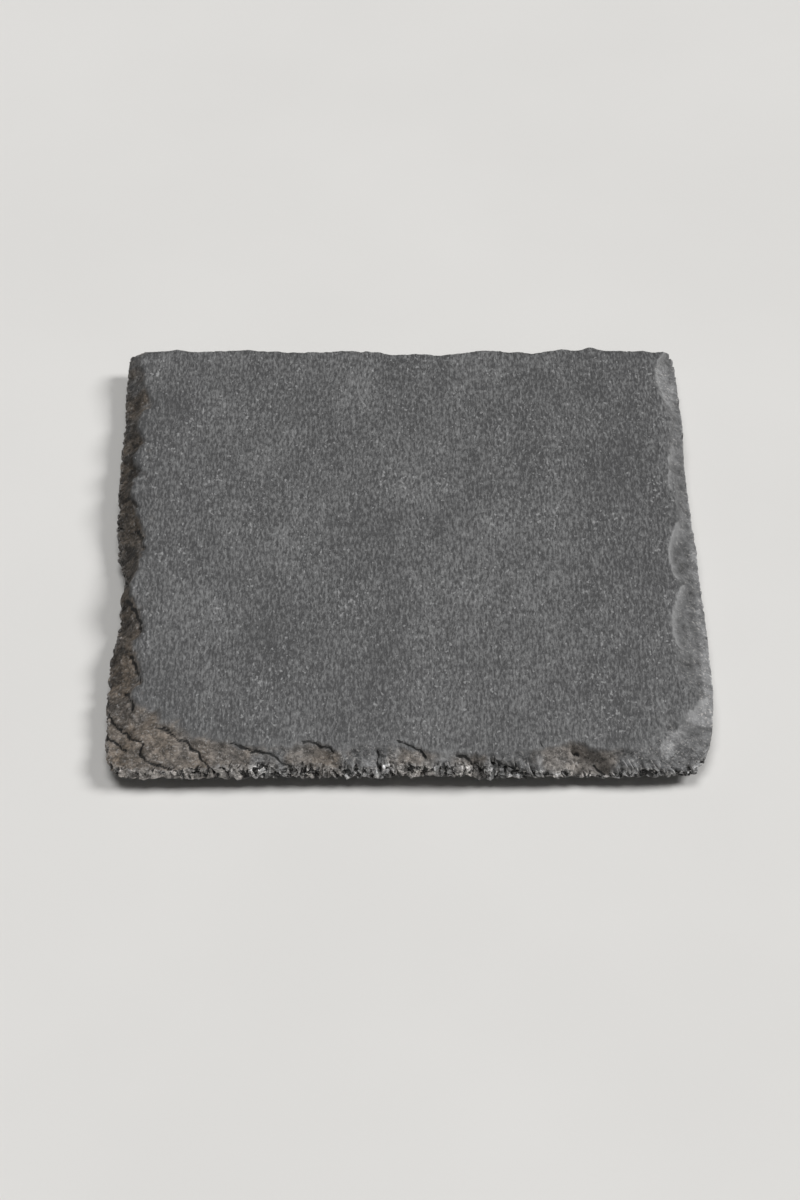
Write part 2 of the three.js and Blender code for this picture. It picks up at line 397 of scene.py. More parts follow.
def painted_warm_reflection(x, y):
    """How strongly the broken stone is tinted brownish at each point by painted reflected light."""
    share = np.zeros_like(x)
    uneven = 0.25 * layered_noise(x / 2.2, y / 2.2, 95)
    for middle_x, middle_y, half_width, half_depth, amount in WARM_REFLECTION_PLACES:
        reach = np.hypot((x - middle_x) / half_width, (y - middle_y) / half_depth) + uneven
        share = np.maximum(share, amount * smooth_step(1.2, 0.7, reach))
    return share * (0.6 + 0.4 * smooth_step(-1.2, 0.4, layered_noise(x / 6, y / 6, 91, 2)))


def distance_to_line(x, y, points):
    """Distance from a line of points, positive on its right, and a share that fades over the last
    millimetre before either end."""
    points = np.array(points)
    lengths = np.hypot(*np.diff(points, axis=0).T)
    travelled = np.concatenate([[0], np.cumsum(lengths)])
    signed = np.full(len(x), np.inf)
    place = np.zeros_like(x)
    for index, length in enumerate(lengths):
        along = (points[index + 1] - points[index]) / length
        gap_x = x - points[index][0]
        gap_y = y - points[index][1]
        run = np.clip(gap_x * along[0] + gap_y * along[1], 0, length)
        side = np.where(gap_x * along[1] - gap_y * along[0] > 0, 1, -1)
        gap = np.hypot(gap_x - run * along[0], gap_y - run * along[1])
        closer = gap < np.abs(signed)
        signed = np.where(closer, gap * side, signed)
        place = np.where(closer, travelled[index] + run, place)
    end_share = smooth_step(0, 1, np.minimum(place, travelled[-1] - place))
    return signed, end_share


def step_depths(x, y):
    """How far the steps lower each point, and its shares in their cracks and raised crests."""
    lowered = np.zeros_like(x)
    crack = np.zeros_like(x)
    crest = np.zeros_like(x)
    near_edge = edge_distance(x, y) < BORDER_WIDTH
    x = x[near_edge]
    y = y[near_edge]
    bend = 0.22
    bend_length = 0.7
    bent_x = x + bend * noise(x / bend_length, y / bend_length, 71)
    bent_y = y + bend * noise(x / bend_length, y / bend_length, 72)
    width = CRACK_WIDTH * (1 + 0.35 * noise(x / 1.3, y / 1.3, 73))
    opening = smooth_step(-1.8, -0.5, noise(x / 1.9, y / 1.9, 74))
    crushing = smooth_step(-1.4, 0.4, noise(x / 1.7, y / 1.7, 76))
    for drop, fade, groove, points in STEPS:
        signed, end_share = distance_to_line(bent_x, bent_y, points)
        fallen = smooth_step(-0.04, STEP_RUN, signed)
        fading = np.exp(-np.clip(signed, 0, None) / fade)
        if groove > 0:
            depth = np.exp(-((signed - STEP_RUN / 2) / width) ** 2) * end_share * opening
        else:
            flank = np.exp(-np.clip(signed, 0, None) / CREST_WIDTH)
            depth = smooth_step(-0.25, 0.05, signed) * flank * end_share * crushing
        sunk = GROOVE_DEPTH * groove * np.sqrt(depth)
        lowered[near_edge] += drop * fallen * fading * end_share + sunk
        strength = min(1, abs(groove) * LINE_STRENGTH)
        share = crack if groove > 0 else crest
        share[near_edge] = np.maximum(share[near_edge], depth * strength)
    return lowered, crack, crest


SCOOPS_PER_EDGE = 200


def scoops(edge_place, edge_depth, seed):
    """Flake scars scattered along one edge. The deepest one counts at each point."""
    rng = np.random.default_rng(seed)
    deepest = np.zeros_like(edge_place)
    for _ in range(SCOOPS_PER_EDGE):
        centre = rng.uniform(-HALF, HALF)
        inwards = rng.uniform(-1.0, 3.5)
        half_length = rng.uniform(0.8, 2.8)
        half_width = half_length * rng.uniform(0.5, 0.9)
        depth = 0.15 * half_length * rng.uniform(0.5, 1.3)
        lean = rng.uniform(-0.6, 0.6)
        near = ((np.abs(edge_place - centre) < 2 * half_length)
                & (np.abs(edge_depth - inwards) < 2 * half_width))
        run = edge_place[near] - centre
        across = edge_depth[near] - inwards
        share = ((run + lean * across) / half_length) ** 2 + (across / half_width) ** 2
        deepest[near] = np.maximum(deepest[near], depth * np.clip(1 - share, 0, None))
    return deepest


def edge_scoops(x, y):
    """Flake scars along all four edges, each edge's counted from its own start."""
    sides = [(x, y + HALF), (y, HALF - x), (x, HALF - y), (y, x + HALF)]
    depths = [scoops(place, depth, 40 + side) for side, (place, depth) in enumerate(sides)]
    return np.max(depths, axis=0)


def riven_relief(x, y):
    """Relief of the naturally split top face: slow swells and fine lines from front to back."""
    below_top = 0.1
    swell = 0.045 * layered_noise(x / 26, y / 34, 3)
    bend = 1.2 * noise(x / 14, y / 14, 8)
    lines = 0.03 * layered_noise((x + bend) / 1.5, y / 7.0, 11, 2)
    return swell + lines - below_top


def plate_steps(x, y, height):
    """Thin plates of the slate: moves a height towards the nearest of slightly tilted levels."""
    plate = 0.4
    waves = 0.5 * layered_noise(x / 3.2, y / 3.2, 21)
    tilted = height + 0.12 * x - 0.03 * y + waves
    level = tilted / plate
    whole = np.floor(level)
    return (whole + smooth_step(0.55, 0.95, level - whole)) * plate - tilted


def smoother_share(x, y):
    """The right edge broke off more smoothly than the others, and the back one partly so."""
    right = smooth_step(0, 4, x - np.abs(y))
    back = 0.6 * smooth_step(0, 4, y - np.abs(x))
    return np.maximum(right, back)


def broken_detail(x, y, height):
    """Finer shape of the broken faces: plates, chips and a grainy surface, or broad facets."""
    plates = 0.25 * plate_steps(x, y, height)
    chips = 0.36 * scallops(x / 2.3, y / 1.8, 23)
    tilts = facets(x / 1.5, y / 1.3, 25, jump=0.08, tilt=0.22)
    broad = facets(x / 2.4, y / 3.4, 26, jump=0.04, tilt=0.42)
    smooth = smoother_share(x, y)
    mean_rise = 0.12
    return (plates + chips + tilts) * (1 - 0.8 * smooth) + broad * smooth - mean_rise


def wall_inset(place, height, roughness):
    """How far the rough wall stands inside the outline, by the place round it and the height."""
    leaning = place + height * 0.35 + 0.5 * noise(place / 2.3, height / 2.3, 36)
    blocks = 0.55 - 0.45 * scallops(leaning / 3.1, height / 3.4, 35)
    chips = facets(leaning / 0.95, height / 2.3, 31, jump=0.2, tilt=0.8)
    small_chips = facets(leaning / 0.5, height / 0.9, 32, jump=0.07, tilt=0.22)
    layers = facets(leaning / 5, height / 0.45, 37, jump=0.16, tilt=0)
    grain = 0.04 * noise(place / 0.4, height / 0.4, 33)
    foot = 0.3 * smooth_step(SLAB_BOTTOM + 0.7, SLAB_BOTTOM, height)
    deepest = 1.4
    return np.clip((blocks + chips + small_chips + layers + grain) * roughness + foot, 0, deepest)


def wall_paleness_and_chip_light(outline):
    """The front edge broke last, so its wall is the palest. The same share sets how strongly the
    walls' chips are painted with light and shade and with bright glints, most on the front.
    """
    x, y = outline.T
    elsewhere = 0.35
    return elsewhere + (1 - elsewhere) * smooth_step(-3, 1, -y - np.abs(x))


def front_wall_cracks(x, y, height):
    """How deep each point lies in one of the front wall's cracks."""
    deepest = np.zeros_like(x)
    thickest = 2.5
    on_front = y < -HALF + thickest
    for points in WALL_CRACKS:
        signed, end_share = distance_to_line(x, height, points)
        deepest = np.maximum(deepest, np.exp(-(signed / CRACK_WIDTH) ** 2) * end_share)
    return deepest * on_front


def soften(heights):
    """Each height averaged with those around it, along a ring and from ring to ring."""
    for _ in range(SOFTENING_ROUNDS):
        heights = (np.roll(heights, 1, axis=1) + 2 * heights + np.roll(heights, -1, axis=1)) / 4
        framed = np.vstack([heights[:1], heights, heights[-1:]])
        heights = (framed[:-2] + 2 * heights + framed[2:]) / 4
    return heights


def upper_height(base, x, y):
    """Height of the finished upper side over each point, and its shares for the material. base is
    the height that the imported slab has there."""
    lowered, crack, crest = step_depths(x, y)
    uneven = 0.12 * layered_noise(x / 1.1, y / 1.4, 75)
    broken = np.maximum(smooth_step(0.05, 0.45, SLAB_TOP - base + uneven),
                        smooth_step(0.15, 0.6, lowered + uneven))
    rounding = RIM_ROUNDING * np.exp(-edge_distance(x, y) / RIM_ROUNDING) * smoother_share(x, y)
    height = base - lowered - edge_scoops(x, y) * broken - rounding
    height += broken_detail(x, y, height) * broken + riven_relief(x, y)
    lowest = SLAB_BOTTOM + 0.9
    shares = {"broken": broken, "crack": crack, "crest": crest, "tone_and_painted_light": paleness_and_painted_light(x, y),
              "warm_reflection": painted_warm_reflection(x, y), "even": smoother_share(x, y)}
    return np.clip(height, lowest, SLAB_TOP), shares


# -------- the slab's mesh

SHARES = ("broken", "crack", "crest", "tone_and_painted_light", "warm_reflection", "even", "wall")


class MeshParts:
    """Points, faces and shares of a mesh while it is put together."""

    def __init__(self):
        self.points = []
        self.faces = []
        self.shares = {name: [] for name in SHARES}
        self.count = 0

    def add_points(self, x, y, height, shares):
        """Adds points and their shares, where a missing one is 0, and gives their numbers."""
        self.points.append(np.column_stack([x, y, height]))
        for name in SHARES:
            self.shares[name].append(np.broadcast_to(shares.get(name, 0.0), len(x)))
        self.count += len(x)
        return np.arange(self.count - len(x), self.count)

    def add_strip(self, low, high):
        """Quads between two rings of the same length."""
        self.faces += zip(low, np.roll(low, -1), np.roll(high, -1), high)

    def add_halving_strip(self, outer, inner, faces_up):
        """Triangles between a ring and one inside it with half as many points."""
        first = outer[0::2]
        second = outer[1::2]
        third = np.roll(outer, -2)[0::2]
        far = np.roll(inner, -1)
        for corners in ((first, second, inner), (second, far, inner), (second, third, far)):
            self.faces += zip(*(corners if faces_up else corners[::-1]))

    def add_grid(self, indices, cells, faces_up):
        """Quads between the points of a square grid."""
        table = indices.reshape(cells + 1, cells + 1)
        corners = (table[:-1, :-1], table[:-1, 1:], table[1:, 1:], table[1:, :-1])
        corners = [corner.ravel() for corner in corners]
        self.faces += zip(*(corners if faces_up else corners[::-1]))


def grid_points(cells, half):
    """Points of a square grid that reaches half to each side."""
    run = np.linspace(-half, half, cells + 1)
    x, y = np.meshgrid(run, run)
    return x.ravel(), y.ravel()


def grid_loop(cells):
    """Places of a grid's border points, in the same order as square_loop."""
    table = np.arange((cells + 1) ** 2).reshape(cells + 1, cells + 1)
    return np.concatenate([table[0, :-1], table[:-1, -1], table[-1, :0:-1], table[:0:-1, 0]])


def ring_shares():
    """How far in each ring of the border lies: evenly fine at first, then wider and wider."""
    rings = np.arange(BORDER_RINGS)
    extra = BORDER_WIDTH - FINE_RING * BORDER_RINGS
    return (rings * FINE_RING + extra * (rings / BORDER_RINGS) ** 4) / BORDER_WIDTH


def add_wall(parts, outline, rim, border_height):
    """Rows of the wall from the bottom to just under the rim. Also gives the rim's outline without
    its chips, and the rim's own places and heights, which the border's first ring takes."""
    step = np.hypot(*(np.roll(outline, -1, axis=0) - outline).T)
    place = np.concatenate([[0], np.cumsum(step)[:-1]])
    inward = -outline / np.linalg.norm(outline, axis=1)[:, None]
    even_rim = outline + inward * MEAN_INSET
    evenness = smoother_share(*outline.T)
    roughness = 1 - 0.8 * evenness
    paleness_and_chip_light = wall_paleness_and_chip_light(outline)
    uneven_rim = rim + facets(place / 1.6, place * 0, 51, jump=0.12, tilt=0.2)
    without_lip = np.minimum(uneven_rim, border_height - LIP_CLEARANCE)
    top_edge = np.clip(without_lip, SLAB_BOTTOM + 0.7, SLAB_TOP - 0.1)
    lower_edge = SLAB_BOTTOM + 0.22 * np.clip(noise(place / 1.1, place * 0, 53), 0, 1)
    rows = []
    # The last row is the rim. It isn't added here, because it is the border's first ring.
    for row in range(WALL_ROWS + 1):
        height = lower_edge + (top_edge - lower_edge) * row / WALL_ROWS
        crack = front_wall_cracks(*outline.T, height)
        inset = wall_inset(place, height, roughness) + crack * WALL_CRACK_DEPTH
        plan = outline + inward * inset[:, None]
        if row < WALL_ROWS:
            # Shares for the material, which paints the wall's chips with light, shade and glints,
            # and paints highlights, shade and brownish reflected light where the listed places say
            # so
            shares = {"broken": 1.0, "crack": crack, "wall": paleness_and_chip_light,
                      "tone_and_painted_light": paleness_and_painted_light(*plan.T) * (1 - evenness), "warm_reflection": painted_warm_reflection(*plan.T),
                      "even": evenness}
            rows.append(parts.add_points(*plan.T, height, shares))
    return rows, even_rim, plan, height


def add_border(parts, surface, even_rim, rim_plan, rim_height, inner):
    """Rings of the broken border, from the rim inwards. The chips of the rim fade out over them."""
    fading_rings = 4
    fading = np.exp(-np.arange(BORDER_RINGS) / fading_rings)
    plans = np.array([even_rim + (inner - even_rim) * share + (rim_plan - even_rim) * fade
                      for share, fade in zip(ring_shares(), fading)])
    flat = plans.reshape(-1, 2)
    base = packed_height(surface, flat[:, 0], flat[:, 1]).reshape(plans.shape[:2])
    rings = []
    for plan, ring_base in zip(plans, soften(base)):
        x, y = plan.T
        height, shares = upper_height(ring_base, x, y)
        if not rings:
            height = rim_height
            shares["broken"] = 1.0
            # The rim takes half of the walls' paleness and their painted chip light, shade and
            # glints
            shares["wall"] = 0.5
        rings.append(parts.add_points(x, y, height, shares))
    return rings


def add_top(parts, border_ring):
    """The top face inside the border, on a wider grid."""
    half = HALF - BORDER_WIDTH
    ring_inset = 0.35
    grid_inset = 0.9
    x, y = (square_loop(CELLS_PER_EDGE // 2) * (half - ring_inset)).T
    middle_ring = parts.add_points(x, y, *upper_height(SLAB_TOP, x, y))
    parts.add_halving_strip(border_ring, middle_ring, True)
    cells = CELLS_PER_EDGE // 4
    x, y = grid_points(cells, half - grid_inset)
    grid = parts.add_points(x, y, *upper_height(SLAB_TOP, x, y))
    parts.add_halving_strip(middle_ring, grid[grid_loop(cells)], True)
    parts.add_grid(grid, cells, True)


def underside_height(x, y):
    """The underside is riven too, and flat where the feet are stuck on."""
    relief = np.clip(0.03 + 0.02 * layered_noise(x / 1.6, y / 8.0, 61, 2), 0, None)
    from_foot = np.hypot(np.abs(x) - FOOT_PLACE, np.abs(y) - FOOT_PLACE)
    at_foot = smooth_step(7.5, 6.0, from_foot)
    return SLAB_BOTTOM + relief * (1 - at_foot)


def add_underside(parts, outline, bottom_ring):
    """The riven underside: rings that each have half as many points as the last, and a grid."""
    grid_inset = 5.5
    ring = bottom_ring
    for halving, inset in ((2, 1.3), (4, 2.6)):
        x, y = (outline[::halving] * (1 - inset / HALF)).T
        inner = parts.add_points(x, y, underside_height(x, y), {})
        parts.add_halving_strip(ring, inner, False)
        ring = inner
    cells = CELLS_PER_EDGE // 8
    x, y = grid_points(cells, HALF - grid_inset)
    grid = parts.add_points(x, y, underside_height(x, y), {})
    parts.add_halving_strip(ring, grid[grid_loop(cells)], False)
    parts.add_grid(grid, cells, False)


def mesh_values(items, name, width, kind=float):
    """One property of all vertices or edges, with a row for each."""
    values = np.empty(len(items) * width, kind)
    items.foreach_get(name, values)
    return values.reshape(-1, width)


def convexity(mesh):
    """How far each vertex stands out of its neighbours, as a share of their distance."""
    points = mesh_values(mesh.vertices, "co", 3)
    normals = mesh_values(mesh.vertices, "normal", 3)
    edges = mesh_values(mesh.edges, "vertices", 2, int)
    total = np.zeros_like(points)
    spacing = np.zeros(len(points))
    for here, there in (edges.T, edges.T[::-1]):
        gap = points[there] - points[here]
        np.add.at(total, here, gap)
        np.add.at(spacing, here, np.linalg.norm(gap, axis=1))
    return -np.sum(total * normals, axis=1) / spacing


def split_quads(points, faces):
    """The faces as triangles. A quad is cut along its shorter diagonal, so cracks stay sharp."""
    triangles = [face for face in faces if len(face) == 3]
    first, second, third, fourth = np.array([face for face in faces if len(face) == 4]).T
    straight = np.linalg.norm(points[third] - points[first], axis=1)
    slanted = np.linalg.norm(points[fourth] - points[second], axis=1)
    cut = straight < slanted
    for corners in ((first, second, third), (first, third, fourth)):
        triangles += zip(*(corner[cut] for corner in corners))
    for corners in ((first, second, fourth), (second, third, fourth)):
        triangles += zip(*(corner[~cut] for corner in corners))
    return triangles


def slab_mesh():
    """The whole slab as one closed mesh, with the shares that drive its material."""
    surface = slab_surface()
    loop = square_loop(CELLS_PER_EDGE)
    outline, rim = outline_and_rim(surface, loop)
    parts = MeshParts()
    just_inside = outline * (1 - LIP_CHECK_INSET / HALF)
    border_height, _ = upper_height(packed_height(surface, *just_inside.T), *just_inside.T)
    rows, even_rim, rim_plan, rim_height = add_wall(parts, outline, rim, border_height)
    inner = loop * (HALF - BORDER_WIDTH)
    rings = add_border(parts, surface, even_rim, rim_plan, rim_height, inner)
    for low, high in zip(rows + rings, (rows + rings)[1:]):
        parts.add_strip(low, high)
    add_top(parts, rings[-1])
    add_underside(parts, outline, rows[0])
    mesh = bpy.data.meshes.new("slate_slab_stone")
    points = np.concatenate(parts.points) * MM
    faces = split_quads(points, parts.faces)
    mesh.from_pydata(points.tolist(), [], faces)
    mesh.update()
    shares = {name: np.concatenate(lists) for name, lists in parts.shares.items()}
    shares["ridge"] = convexity(mesh)
    smooth = [shares["wall"][face[0]] == 0 for face in faces]
    mesh.polygons.foreach_set("use_smooth", smooth)
    for name, values in shares.items():
        attribute = mesh.attributes.new(name, "FLOAT", "POINT")
        attribute.data.foreach_set("value", values.astype(np.float32))
    return mesh


# -------- materials

class Shading:
    """Short ways to add the shader nodes that the materials share."""

    def __init__(self, name):
        self.material = bpy.data.materials.new(name)
        self.material.use_nodes = True
        self.nodes = self.material.node_tree.nodes
        self.links = self.material.node_tree.links
        self.shader = self.nodes["Principled BSDF"]
        self.place = self.nodes.new("ShaderNodeTexCoord").outputs["Object"]

    def connect(self, source, target):
        """Links another node's output to the socket, or sets the socket's value."""
        if hasattr(source, "links"):
            self.links.new(source, target)
        else:
            target.default_value = source

    def attribute(self, name):
        node = self.nodes.new("ShaderNodeAttribute")
        node.attribute_name = name
        return node.outputs["Fac"]

    def scaled_place(self, size):
        """The place on the object, in lengths of size millimetres along x, y and z."""
        mapping = self.nodes.new("ShaderNodeMapping")
        mapping.inputs["Scale"].default_value = [1 / (length * MM) for length in size]
        self.links.new(self.place, mapping.inputs["Vector"])
        return mapping.outputs["Vector"]

    def noise(self, size, detail, roughness, distortion=0.0):
        """Noise whose features are about size millimetres across, as (x, y, z)."""
        node = self.nodes.new("ShaderNodeTexNoise")
        for name, value in (("Scale", 1.0), ("Detail", detail), ("Roughness", roughness),
                            ("Distortion", distortion)):
            node.inputs[name].default_value = value
        self.links.new(self.scaled_place(size), node.inputs["Vector"])
        return node.outputs["Fac"]

    def random_cells(self, size):
        """Cells about size millimetres across, each with a random value from 0 to 1."""
        node = self.nodes.new("ShaderNodeTexVoronoi")
        node.inputs["Scale"].default_value = 1.0
        self.links.new(self.scaled_place(size), node.inputs["Vector"])
        parts = self.nodes.new("ShaderNodeSeparateColor")
        self.links.new(node.outputs["Color"], parts.inputs["Color"])
        return parts.outputs["Red"]

    def math(self, operation, first, second=0.0, third=0.0):
        node = self.nodes.new("ShaderNodeMath")
        node.operation = operation
        for value, socket in zip((first, second, third), node.inputs):
            self.connect(value, socket)
        return node.outputs["Value"]

    def total(self, *terms):
        """Sum of values, each times its weight."""
        result = 0.0
        for value, weight in terms:
            result = self.math("MULTIPLY_ADD", value, weight, result)
        return result

    def between(self, value, low, high, result_low=0.0, result_high=1.0):
        """The value's place between low and high, as a number between the two results."""
        node = self.nodes.new("ShaderNodeMapRange")
        node.interpolation_type = "SMOOTHSTEP"
        for name, number in (("Value", value), ("From Min", low), ("From Max", high),
                             ("To Min", result_low), ("To Max", result_high)):
            self.connect(number, node.inputs[name])
        return node.outputs["Result"]

    def mix(self, share, first, second, blend="MIX"):
        """The first colour where share is 0, and where it is 1 the second or the blend of both."""
        node = self.nodes.new("ShaderNodeMix")
        node.data_type = "RGBA"
        node.blend_type = blend
        self.connect(share, node.inputs[0])
        self.connect(first, node.inputs[6])
        self.connect(second, node.inputs[7])
        return node.outputs[2]

    def bump(self, height, distance, strength, normal=None):
        """A normal tilted by a height whose whole range is distance millimetres."""
        node = self.nodes.new("ShaderNodeBump")
        node.inputs["Distance"].default_value = distance * MM
        node.inputs["Strength"].default_value = strength
        self.links.new(height, node.inputs["Height"])
        if normal is not None:
            self.links.new(normal, node.inputs["Normal"])
        return node.outputs["Normal"]


def grey(value):
    return (value, value, value, 1)


# Colours of the slate, as linear red, green, blue and opacity
RIVEN_DARK = (0.058, 0.058, 0.059, 1)
RIVEN_LIGHT = (0.218, 0.219, 0.219, 1)
RIVEN_SPARK = grey(0.42)
BROKEN_DARK = (0.056, 0.056, 0.057, 1)
BROKEN_LIGHT = (0.200, 0.201, 0.202, 1)
# the brownish colours are a painted reflection of warm light
WARM_REFLECTION_DARK = (0.064, 0.052, 0.040, 1)
WARM_REFLECTION_LIGHT = (0.222, 0.180, 0.141, 1)
BROKEN_SPECK = (0.36, 0.345, 0.33, 1)
# Painted glints, painted highlights on crushed ridges and crests, painted shade in hollows and
# painted shadow in cracks
WALL_GLINT = (0.52, 0.50, 0.48, 1)
CRUSHED_RIDGE_HIGHLIGHT = (0.42, 0.41, 0.40, 1)
HOLLOW_SHADE = (0.016, 0.015, 0.014, 1)
CRUSHED_CREST_HIGHLIGHT = grey(0.40)
CRACK_SHADOW = grey(0.005)


def riven_colour(s, surface):
    """Flecks drawn out from front to back, slow clouds and scattered bright grains."""
    clouds = s.noise((8, 15, 15), 4, 0.6)
    cloudy = s.total((surface, 1.0), (clouds, 0.2))
    plain = s.mix(s.between(cloudy, 0.5, 0.8), RIVEN_DARK, RIVEN_LIGHT)
    specks = s.noise((0.52, 0.85, 0.52), 1, 0.5)
    clusters = s.noise((7, 9, 7), 2, 0.6)
    sparks = s.between(s.total((specks, 1.0), (clusters, 0.4)), 0.86, 0.97)
    return s.mix(s.math("MULTIPLY", sparks, 0.5), plain, RIVEN_SPARK)


def broken_colour(s, mottling, warm_reflection):
    """Small grains and soft mottling, tinted brownish in places by painted reflected light, with
    random paler and darker patches and the paler stone, painted highlights and painted shade of the
    listed places.
    """
    dark = s.mix(warm_reflection, BROKEN_DARK, WARM_REFLECTION_DARK)
    light = s.mix(warm_reflection, BROKEN_LIGHT, WARM_REFLECTION_LIGHT)
    mottled = s.mix(s.between(mottling, 0.33, 0.68), dark, light)
    specks = s.between(s.noise((0.42, 0.42, 0.42), 1, 0.5), 0.60, 0.70, 0, 0.5)
    speckled = s.mix(specks, mottled, BROKEN_SPECK)
    patches = s.between(s.noise((2.3, 2.3, 2.3), 3, 0.6), 0.34, 0.66, -0.3, 0.25)
    # paler stone, painted highlights and painted shade from the listed places, over random patches
    brightness = s.total((s.attribute("tone_and_painted_light"), 0.9), (patches, 1.0), (1.0, 1.0))
    return s.mix(1.0, speckled, brightness, "MULTIPLY")


def painted_wall_chip_light(s, stone, wall, even):
    """The stone with the walls' upright chips, each painted lighter or darker as if its facet faced
    the light or turned away from it, thin dark layers and painted bright glints. On the more even
    walls the chips are long and low."""
    upright = s.random_cells((0.62, 0.62, 1.9))
    lying = s.random_cells((2.2, 2.2, 0.55))
    shade = s.mix(s.between(s.mix(even, upright, lying), 0.15, 0.95), grey(0.16), grey(5.4))
    chipped = s.mix(wall, stone, shade, "MULTIPLY")
    layers = s.between(s.noise((6, 6, 0.26), 2, 0.6), 0.36, 0.5, 0.5, 1.0)
    layered = s.mix(s.between(wall, 0.0, 0.3), chipped, layers, "MULTIPLY")
    glints = s.between(s.noise((0.3, 0.3, 0.5), 1, 0.5), 0.64, 0.72)
    return s.mix(s.math("MULTIPLY", glints, wall), layered, WALL_GLINT)


def ridge_highlight_and_hollow_shade(s, stone, even):
    """The stone with ridges made paler, partly as crushed stone and partly as a painted highlight,
    and painted shade in its hollows.
    """
    ridge = s.attribute("ridge")
    crushing = s.between(ridge, 0.08, 0.45, 0, s.total((even, -0.3), (1.0, 0.45)))
    crushed = s.mix(crushing, stone, CRUSHED_RIDGE_HIGHLIGHT)
    shading = s.between(ridge, -0.08, -0.45, 0, s.total((even, -0.6), (1.0, 0.75)))
    return s.mix(shading, crushed, HOLLOW_SHADE)


def slate_material():
    """Riven slate on top and broken slate round the edges, with painted shadow in its cracks,
    painted shade in its hollows, painted highlights on its ridges, crests and wall chips, and a
    painted brownish reflection in places.
    """
    s = Shading("slate")
    broken = s.attribute("broken")
    even = s.attribute("even")
    # How strongly the walls' paleness, painted chip light and shade and painted glints show, less
    # on the more even walls
    wall = s.math("MULTIPLY", s.attribute("wall"), s.total((even, -0.6), (1.0, 1.0)))
    # painted brownish reflected light, fainter on the walls
    warm_reflection = s.math("MULTIPLY", s.attribute("warm_reflection"), s.total((wall, -0.6), (1.0, 1.0)))

    # flecks, fibres and grain of the riven face
    flecks = s.noise((0.40, 1.15, 1.0), 2, 0.6, 0.3)
    fibres = s.noise((0.55, 3.6, 1.0), 2, 0.6, 0.5)
    grain = s.noise((0.24, 0.42, 0.24), 2, 0.6)
    surface = s.total((flecks, 0.55), (fibres, 0.25), (grain, 0.2))

    # mottling and small angular grains of the broken faces, weaker on the more even ones
    mottle = s.noise((1.1, 1.1, 1.1), 4, 0.68)
    grains = s.random_cells((0.34, 0.34, 0.3))
    rough = s.total((mottle, 0.85), (grains, 0.15))
    mottling = s.mix(s.math("MULTIPLY", even, 0.5), rough, grey(0.5))

    stone = ridge_highlight_and_hollow_shade(s, painted_wall_chip_light(s, broken_colour(s, mottling, warm_reflection), wall, even), even)
    whole = s.mix(broken, riven_colour(s, surface), stone)
    # crests: partly pale crushed stone, partly a painted highlight
    crest_highlit = s.mix(s.math("MULTIPLY", s.attribute("crest"), 0.65), whole, CRUSHED_CREST_HIGHLIGHT)
    # painted shadow in the cracks
    cracks = s.between(s.attribute("crack"), 0.5, 0.85, 0, 0.95)
    s.links.new(s.mix(cracks, crest_highlit, CRACK_SHADOW), s.shader.inputs["Base Color"])

    riven_roughness = s.between(flecks, 0.3, 0.7, 0.48, 0.66)
    roughness = s.between(broken, 0, 1, riven_roughness, 0.72)
    s.links.new(roughness, s.shader.inputs["Roughness"])
    s.shader.inputs["Specular IOR Level"].default_value = 0.5

    coarse = s.bump(s.mix(broken, surface, mottling), 0.3, 0.8)
    fine = s.bump(s.noise((0.22, 0.4, 0.22), 3, 0.65), 0.08, 0.8, coarse)
    s.links.new(fine, s.shader.inputs["Normal"])
    return s.material


def rubber_material():
    """Black moulded rubber: fine spark-eroded skin, dusty patches."""
    s = Shading("foot_rubber")
    skin = s.noise((0.12, 0.12, 0.12), 3, 0.6)
    dust = s.between(s.noise((1.6, 1.6, 1.0), 3, 0.6), 0.45, 0.75)
    colour = s.mix(dust, (0.020, 0.020, 0.021, 1), (0.060, 0.058, 0.055, 1))
    s.links.new(colour, s.shader.inputs["Base Color"])
    s.links.new(s.between(skin, 0.3, 0.7, 0.55, 0.8), s.shader.inputs["Roughness"])
    s.links.new(s.bump(skin, 0.03, 0.7), s.shader.inputs["Normal"])
    return s.material


def adhesive_material():
    """Cloudy acrylic adhesive with small pores."""
    s = Shading("adhesive")
    clouds = s.noise((1.4, 1.4, 0.6), 3, 0.6)
    pores = s.between(s.noise((0.16, 0.16, 0.1), 2, 0.5), 0.34, 0.42)
    colour = s.mix(s.between(clouds, 0.35, 0.65), (0.56, 0.53, 0.46, 1), (0.70, 0.67, 0.60, 1))
    colour = s.mix(pores, (0.36, 0.33, 0.28, 1), colour)
    s.links.new(colour, s.shader.inputs["Base Color"])
    s.links.new(s.between(clouds, 0.3, 0.7, 0.3, 0.5), s.shader.inputs["Roughness"])
    s.links.new(s.bump(pores, 0.03, 0.6), s.shader.inputs["Normal"])
    return s.material


def floor_material():
    """Pale matt paint, faintly uneven."""
    s = Shading("floor_paint")
    patches = s.noise((60, 60, 60), 3, 0.5)
    colour = s.mix(s.between(patches, 0.3, 0.7), (0.71, 0.70, 0.68, 1), (0.73, 0.72, 0.70, 1))
    s.links.new(colour, s.shader.inputs["Base Color"])
    s.shader.inputs["Roughness"].default_value = 0.8
    return s.material


# -------- pieces

def add_piece(mesh, material, node):
    """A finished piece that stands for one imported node."""
    piece = bpy.data.objects.new(mesh.name, mesh)
    bpy.context.scene.collection.objects.link(piece)
    mesh.materials.append(material)
    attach(piece, "root")
    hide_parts(node)


